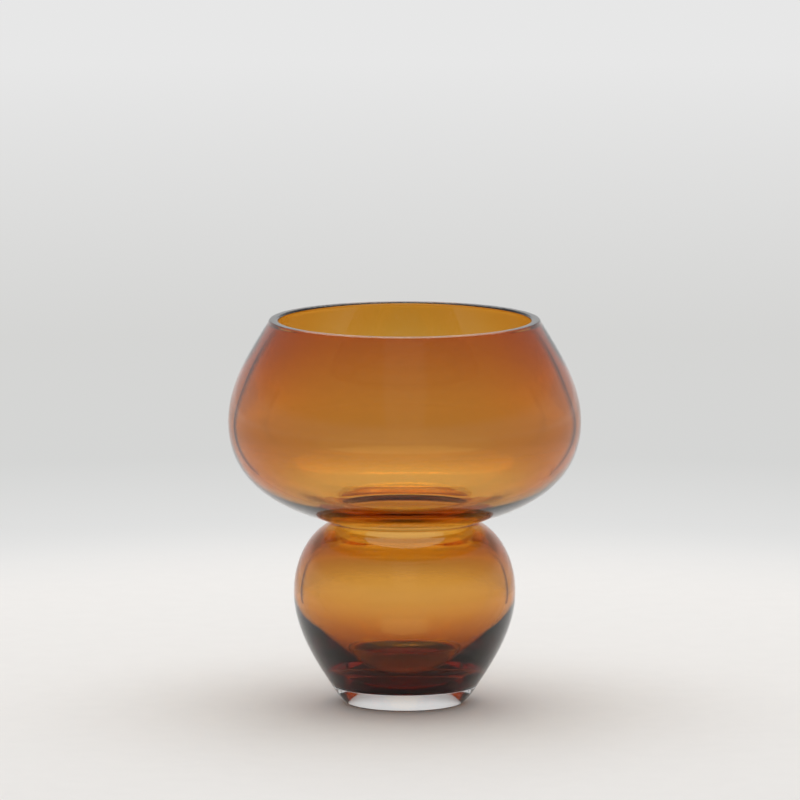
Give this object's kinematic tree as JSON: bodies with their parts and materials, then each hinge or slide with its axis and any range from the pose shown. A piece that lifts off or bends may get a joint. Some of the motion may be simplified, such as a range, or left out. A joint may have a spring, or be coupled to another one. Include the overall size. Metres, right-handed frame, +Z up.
{
  "type": "vase",
  "caption": "Free-standing gourd vase in cased amber glass: a wide squat bowl opening through a narrow throat into a round globe on a clear glass foot.",
  "frame": {"origin": "middle of the flat underside of the clear foot, on the vase's axis", "axes": "+Z up along the vase's axis, out of the mouth; the vase is round, so +X and +Y are any two square directions"},
  "size_m": [0.2208, 0.2208, 0.242],
  "materials": {
    "clear_glass": "clear, fire-polished",
    "amber_glass": "transparent amber, fire-polished"
  },
  "bodies": {
    "root": {"bowl_clear_casing": "clear_glass", "bowl_amber_lining": "amber_glass", "globe_clear_casing": "clear_glass", "globe_amber_lining": "amber_glass", "clear_foot": "clear_glass"}
  },
  "joints": []
}
